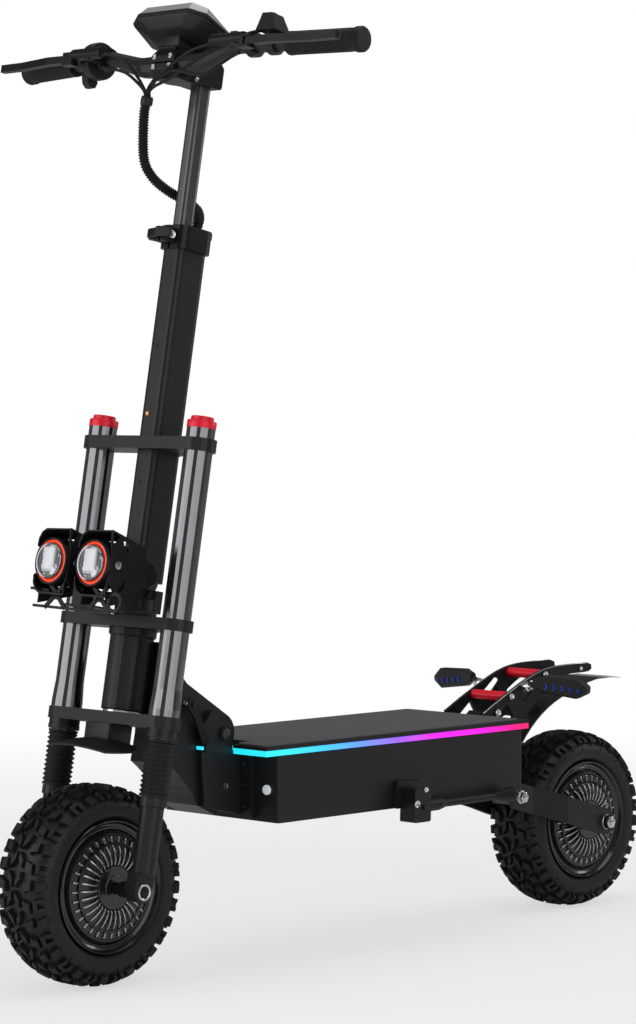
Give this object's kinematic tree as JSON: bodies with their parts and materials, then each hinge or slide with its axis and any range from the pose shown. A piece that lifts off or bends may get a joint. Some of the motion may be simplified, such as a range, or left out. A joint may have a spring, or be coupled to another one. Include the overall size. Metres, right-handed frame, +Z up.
{
  "type": "electric kick scooter",
  "caption": "Folding electric kick scooter with a dual-crown fork, twin headlamps, an adjustable stem, a lit deck edge, a sprung rear arm and hub-motor wheels.",
  "frame": {"origin": "on the ground plane, midway between the axles, on the centre plane", "axes": "-Y forward, +X to the rider's left, +Z up"},
  "size_m": [0.704, 1.3286, 1.3942],
  "materials": {
    "black_paint": "satin black",
    "black_metal": "black anodised",
    "dark_chrome": "dark polished",
    "chrome": "polished",
    "red_anodised": "red anodised",
    "rubber": "matte",
    "tyre": "matte",
    "black_plastic": "fine texture",
    "griptape": "coarse grain",
    "battery_wrap": "heat-shrink wrap",
    "light_strip": "lit diffuser"
  },
  "bodies": {
    "deck": {"deck_box": "black_paint", "deck_lid": "black_paint", "grip_pad": "griptape", "deck_led_strip": "light_strip", "battery_pack": "battery_wrap", "motor_controller": "black_metal", "fold_bracket": "black_paint", "kickstand_bracket": "black_paint", "tail_plate_left": "black_metal", "tail_plate_right": "black_metal", "tail_tube_lower": "red_anodised", "tail_tube_upper": "red_anodised", "rear_mudguard": "black_plastic", "turn_signal_left": "black_plastic", "turn_signal_right": "black_plastic"},
    "kickstand": {"kickstand_leg": "black_metal"},
    "latch": {"fold_latch": "black_metal"},
    "neck": {"neck_frame": "black_paint", "headset_bearings": "chrome"},
    "steering": {"lower_crown": "black_paint", "mid_crown": "black_paint", "top_crown": "black_paint", "stanchion_left": "dark_chrome", "stanchion_right": "dark_chrome", "stem_outer": "black_paint", "stem_collar": "black_paint", "headlamp_left": "black_plastic", "headlamp_right": "black_plastic", "front_mudguard": "black_plastic"},
    "collar_clamp_lever": {"collar_lever": "black_metal"},
    "upper_stem": {"stem_inner": "black_metal", "bar_clamp": "black_metal", "handlebar": "black_paint", "grip_left": "rubber", "grip_right": "rubber", "display_housing": "black_plastic", "brake_perch_left": "black_metal", "brake_perch_right": "black_metal", "throttle_housing": "black_plastic", "switch_box": "black_plastic", "stem_conduit": "rubber"},
    "left_brake_lever": {"brake_lever_left": "black_metal"},
    "right_brake_lever": {"brake_lever_right": "black_metal"},
    "throttle": {"throttle_trigger": "black_plastic"},
    "button": {"switch_button": "red_anodised"},
    "front_lower": {"fork_leg_left": "black_paint", "fork_leg_right": "black_paint", "front_axle": "chrome", "front_caliper": "black_metal", "fork_boot_left": "rubber", "fork_boot_right": "rubber"},
    "front_wheel": {"front_tyre": "tyre", "front_hub_motor": "black_metal"},
    "rear_arm": {"swingarm": "black_paint", "rear_axle": "chrome", "rear_caliper": "black_metal"},
    "rear_wheel": {"rear_tyre": "tyre", "rear_hub_motor": "black_metal"},
    "shock_upper": {"shock_body": "black_metal"},
    "shock_lower": {"shock_rod": "chrome"}
  },
  "joints": [
    {"name": "stem_fold", "type": "hinge", "parent": "deck", "child": "neck", "pos_m": [0, -0.304, 0.344], "axis": [-1, 0, 0], "range_deg": [0, 78]},
    {"name": "latch_swing", "type": "hinge", "parent": "deck", "child": "latch", "pos_m": [0.0527, -0.344, 0.33], "axis": [1, 0, 0], "range_deg": [0, 50]},
    {"name": "steer", "type": "hinge", "parent": "neck", "child": "steering", "pos_m": [0, -0.50162, 0.13944], "axis": [0, 0.1779, 0.984], "range_deg": [-35, 35]},
    {"name": "stem_height", "type": "slide", "parent": "steering", "child": "upper_stem", "axis": [0, 0.1779, 0.984], "range_m": [-0.165, 0], "deforming": ["stem_conduit"]},
    {"name": "collar_lever_swing", "type": "hinge", "parent": "steering", "child": "collar_clamp_lever", "pos_m": [-0.0205, -0.37566, 1.0653], "axis": [0, -0.1779, -0.984], "range_deg": [0, 120]},
    {"name": "left_brake", "type": "hinge", "parent": "upper_stem", "child": "left_brake_lever", "pos_m": [0.19, -0.3905, 1.3265], "axis": [0, 0.1779, 0.984], "range_deg": [0, 9], "stiffness_Nm_per_rad": 3, "springref_deg": -8.59},
    {"name": "right_brake", "type": "hinge", "parent": "upper_stem", "child": "right_brake_lever", "pos_m": [-0.19, -0.3905, 1.3265], "axis": [0, -0.1779, -0.984], "range_deg": [0, 9], "stiffness_Nm_per_rad": 3, "springref_deg": -8.59},
    {"name": "throttle_pull", "type": "hinge", "parent": "upper_stem", "child": "throttle", "pos_m": [-0.222, -0.34207, 1.32459], "axis": [-0.9914, 0.13, -0.0169], "range_deg": [0, 35], "stiffness_Nm_per_rad": 0.2, "springref_deg": -28.65},
    {"name": "button_press", "type": "slide", "parent": "upper_stem", "child": "button", "axis": [0.0065, -0.1775, -0.9841], "range_m": [0, 0.002], "stiffness_N_per_m": 400, "springref_m": -0.003},
    {"name": "fork_travel", "type": "slide", "parent": "steering", "child": "front_lower", "axis": [0, 0.1779, 0.984], "range_m": [0, 0.04], "stiffness_N_per_m": 9000, "springref_m": -0.06, "deforming": ["fork_boot_left", "fork_boot_right"]},
    {"name": "front_spin", "type": "hinge", "parent": "front_lower", "child": "front_wheel", "pos_m": [0, -0.5213, 0.143], "axis": [1, 0, 0], "continuous": true},
    {"name": "rear_swing", "type": "hinge", "parent": "deck", "child": "rear_arm", "pos_m": [0, 0.33, 0.1985], "axis": [1, 0, 0], "range_deg": [0, 10], "stiffness_Nm_per_rad": 900, "springref_deg": -14.32},
    {"name": "rear_spin", "type": "hinge", "parent": "rear_arm", "child": "rear_wheel", "pos_m": [0, 0.5213, 0.143], "axis": [1, 0, 0], "continuous": true},
    {"name": "shock_pivot", "type": "hinge", "parent": "deck", "child": "shock_upper", "pos_m": [0, 0.303, 0.322], "axis": [1, 0, 0], "range_deg": [0, 1]},
    {"name": "shock_slide", "type": "slide", "parent": "shock_upper", "child": "shock_lower", "axis": [0, -0.542, 0.8404], "range_m": [0, 0.009]},
    {"name": "stand_swing", "type": "hinge", "parent": "deck", "child": "kickstand", "pos_m": [0.1386, 0.0125, 0.2175], "axis": [-1, 0, 0], "range_deg": [0, 95]}
  ],
  "couplings": [
    {"joint": "shock_pivot", "follows": "rear_swing", "ratio": 0.041},
    {"joint": "shock_slide", "follows": "rear_swing", "m_per_rad": 0.0446}
  ]
}
